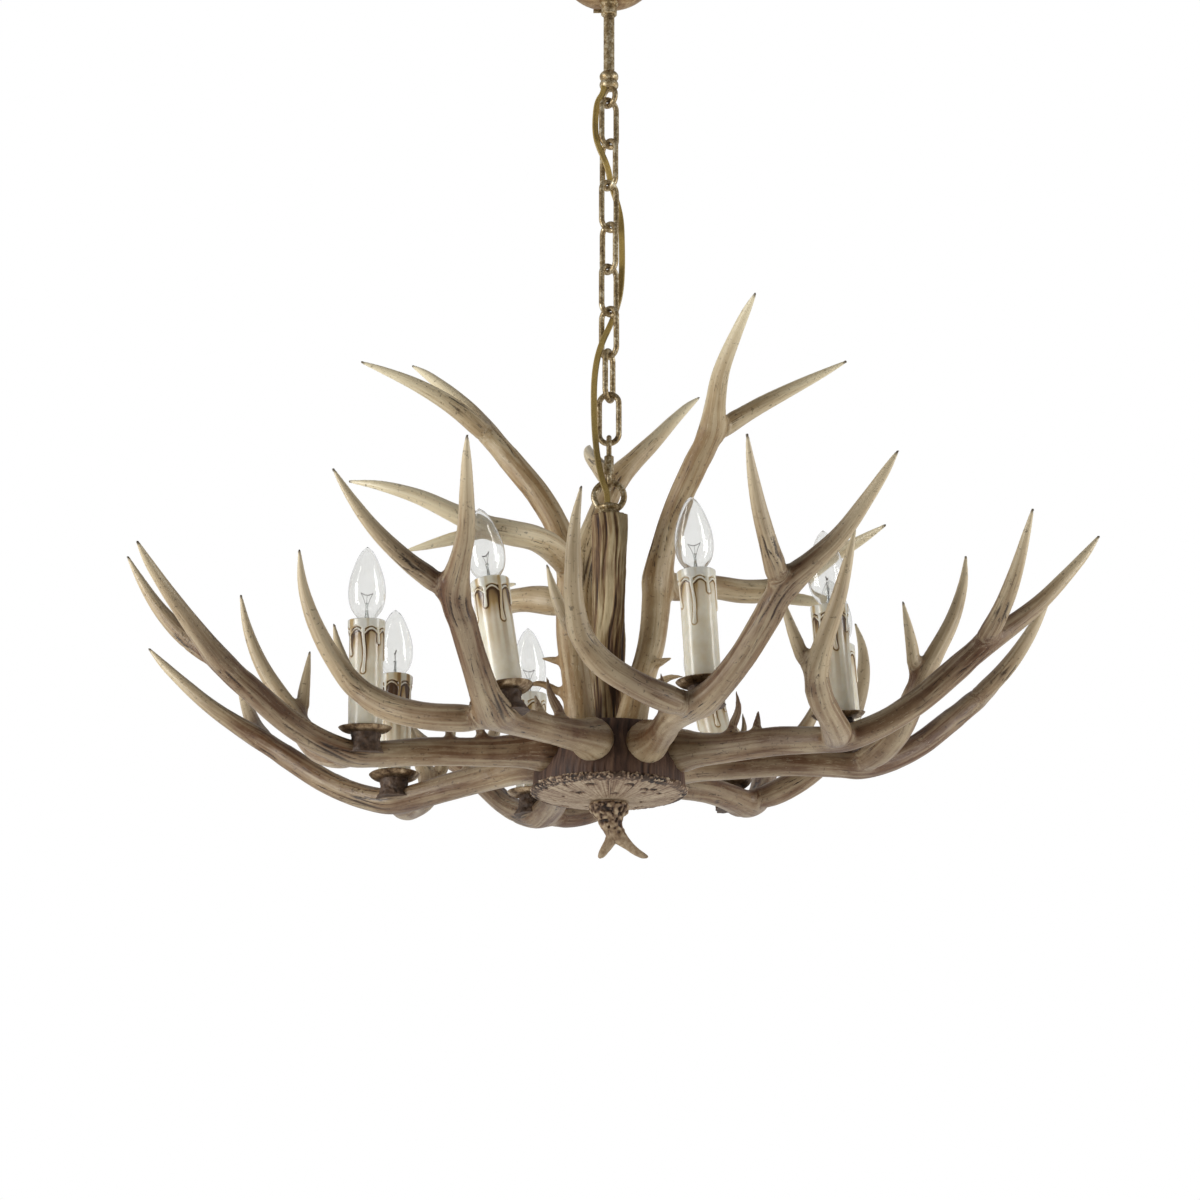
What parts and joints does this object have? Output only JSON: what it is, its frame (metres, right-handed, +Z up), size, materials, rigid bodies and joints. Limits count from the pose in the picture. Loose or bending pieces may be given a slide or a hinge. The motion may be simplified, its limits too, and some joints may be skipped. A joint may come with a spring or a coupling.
{
  "type": "antler chandelier",
  "caption": "Chandelier of branching antlers bolted round a hub, with candle lamps in drip dishes, hung on a chain with its lead threaded through, below a domed ceiling canopy.",
  "frame": {"origin": "middle of the ceiling plate's top face, on the axis of the stem", "axes": "+Z up, -Y the front as pictured, +X to the right seen from the front"},
  "size_m": [0.9103, 0.9295, 0.9283],
  "materials": {
    "antler": "cast resin antler, brown grooves over tan, pale tips",
    "burr": "cast resin, pitted and stained dark brown",
    "column": "cast resin with bark-like ridges",
    "zinc_steel": "zinc plated steel",
    "green_screw": "green ground screw",
    "bronze_paint": "antique gold bronze, mottled",
    "dish_bronze": "dark bronze dish",
    "ivory_sleeve": "ivory candle sleeve with brown wax lines",
    "saddle_brown": "dark brown epoxy saddle",
    "socket_white": "moulded lamp holder",
    "lamp_glass": "clear glass",
    "lamp_cap": "brass screw cap",
    "lead_gold": "gold-tinted flexible two-core lead"
  },
  "bodies": {
    "ceiling_mount": {"ceiling_plate": "zinc_steel", "ground_screw": "green_screw", "stem_tube": "bronze_paint", "stem_locknut": "zinc_steel", "stem_loop": "bronze_paint", "lamp_cord": "lead_gold"},
    "canopy_set": {"canopy": "bronze_paint", "canopy_collar": "bronze_paint", "collar_thumbscrew": "bronze_paint"},
    "link_1": {"chain_link_1": "bronze_paint"},
    "link_2": {"chain_link_2": "bronze_paint"},
    "link_3": {"chain_link_3": "bronze_paint"},
    "link_4": {"chain_link_4": "bronze_paint"},
    "link_5": {"chain_link_5": "bronze_paint"},
    "link_6": {"chain_link_6": "bronze_paint"},
    "link_7": {"chain_link_7": "bronze_paint"},
    "link_8": {"chain_link_8": "bronze_paint"},
    "quick_connector": {"quick_link": "bronze_paint"},
    "connector_nut": {"quick_link_nut": "bronze_paint"},
    "fixture": {"top_ring": "bronze_paint", "ring_collar": "bronze_paint", "centre_rod": "zinc_steel", "centre_column": "column", "antler_bolts": "zinc_steel", "hub_drum": "burr", "hub_rim": "burr", "antler_arm_1": "antler", "antler_arm_2": "antler", "antler_arm_3": "antler", "antler_arm_4": "antler", "antler_arm_5": "antler", "antler_arm_6": "antler", "antler_arm_7": "antler", "antler_arm_8": "antler", "antler_standing_1": "antler", "antler_standing_2": "antler", "antler_standing_3": "antler", "finial": "burr", "candle_saddles": "saddle_brown", "drip_cups": "dish_bronze", "candle_sleeves": "ivory_sleeve", "lamp_sockets": "socket_white"},
    "lamp_1": {"bulb_glass_1": "lamp_glass", "bulb_cap_1": "lamp_cap"},
    "lamp_2": {"bulb_glass_2": "lamp_glass", "bulb_cap_2": "lamp_cap"},
    "lamp_3": {"bulb_glass_3": "lamp_glass", "bulb_cap_3": "lamp_cap"},
    "lamp_4": {"bulb_glass_4": "lamp_glass", "bulb_cap_4": "lamp_cap"},
    "lamp_5": {"bulb_glass_5": "lamp_glass", "bulb_cap_5": "lamp_cap"},
    "lamp_6": {"bulb_glass_6": "lamp_glass", "bulb_cap_6": "lamp_cap"},
    "lamp_7": {"bulb_glass_7": "lamp_glass", "bulb_cap_7": "lamp_cap"},
    "lamp_8": {"bulb_glass_8": "lamp_glass", "bulb_cap_8": "lamp_cap"}
  },
  "joints": [
    {"name": "canopy_slide", "type": "slide", "parent": "ceiling_mount", "child": "canopy_set", "axis": [0, 0, 1], "range_m": [-0.04, 0]},
    {"name": "link_1_swing", "type": "hinge", "parent": "ceiling_mount", "child": "link_1", "pos_m": [0, 0, -0.1609], "axis": [0.6691, -0.7431, 0], "range_deg": [-15, 15], "deforming": ["lamp_cord"]},
    {"name": "link_2_swing", "type": "hinge", "parent": "link_1", "child": "link_2", "pos_m": [0, 0, -0.2055], "axis": [0.7431, 0.6691, 0], "range_deg": [-8, 8], "deforming": ["lamp_cord"]},
    {"name": "link_3_swing", "type": "hinge", "parent": "link_2", "child": "link_3", "pos_m": [0, 0, -0.2501], "axis": [0.6691, -0.7431, 0], "range_deg": [-8, 8], "deforming": ["lamp_cord"]},
    {"name": "link_4_swing", "type": "hinge", "parent": "link_3", "child": "link_4", "pos_m": [0, 0, -0.2947], "axis": [0.7431, 0.6691, 0], "range_deg": [-8, 8], "deforming": ["lamp_cord"]},
    {"name": "link_5_swing", "type": "hinge", "parent": "link_4", "child": "link_5", "pos_m": [0, 0, -0.3393], "axis": [0.6691, -0.7431, 0], "range_deg": [-8, 8], "deforming": ["lamp_cord"]},
    {"name": "link_6_swing", "type": "hinge", "parent": "link_5", "child": "link_6", "pos_m": [0, 0, -0.3839], "axis": [0.7431, 0.6691, 0], "range_deg": [-8, 8], "deforming": ["lamp_cord"]},
    {"name": "link_7_swing", "type": "hinge", "parent": "link_6", "child": "link_7", "pos_m": [0, 0, -0.4285], "axis": [0.7431, -0.6691, 0], "range_deg": [-8, 8], "deforming": ["lamp_cord"]},
    {"name": "link_8_swing", "type": "hinge", "parent": "link_7", "child": "link_8", "pos_m": [0, 0, -0.4731], "axis": [0.3746, 0.9272, 0], "range_deg": [-8, 8], "deforming": ["lamp_cord"]},
    {"name": "quick_link_swing", "type": "hinge", "parent": "link_8", "child": "quick_connector", "pos_m": [0, 0, -0.5177], "axis": [0.9848, -0.1736, 0], "range_deg": [-8, 8], "deforming": ["lamp_cord"]},
    {"name": "connector_nut_travel", "type": "slide", "parent": "quick_connector", "child": "connector_nut", "axis": [0, 0, 1], "range_m": [0, 0.011]},
    {"name": "fixture_swing", "type": "hinge", "parent": "quick_connector", "child": "fixture", "pos_m": [0, 0, -0.5631], "axis": [0, 1, 0], "range_deg": [-10, 10], "deforming": ["lamp_cord"]},
    {"name": "lamp_1_lift", "type": "slide", "parent": "fixture", "child": "lamp_1", "axis": [-0.0602, -0.0074, 0.9982], "range_m": [0, 0.03]},
    {"name": "lamp_2_lift", "type": "slide", "parent": "fixture", "child": "lamp_2", "axis": [-0.0727, -0.1353, 0.9881], "range_m": [0, 0.03]},
    {"name": "lamp_3_lift", "type": "slide", "parent": "fixture", "child": "lamp_3", "axis": [-0.0721, 0.0624, 0.9954], "range_m": [0, 0.03]},
    {"name": "lamp_4_lift", "type": "slide", "parent": "fixture", "child": "lamp_4", "axis": [-0.2001, 0.0953, 0.9751], "range_m": [0, 0.03]},
    {"name": "lamp_5_lift", "type": "slide", "parent": "fixture", "child": "lamp_5", "axis": [-0.0285, -0.022, 0.9994], "range_m": [0, 0.03]},
    {"name": "lamp_6_lift", "type": "slide", "parent": "fixture", "child": "lamp_6", "axis": [-0.0143, 0.0461, 0.9988], "range_m": [0, 0.03]},
    {"name": "lamp_7_lift", "type": "slide", "parent": "fixture", "child": "lamp_7", "axis": [-0.0004, -0.0913, 0.9958], "range_m": [0, 0.03]},
    {"name": "lamp_8_lift", "type": "slide", "parent": "fixture", "child": "lamp_8", "axis": [-0.1493, 0.0468, 0.9877], "range_m": [0, 0.03]}
  ]
}
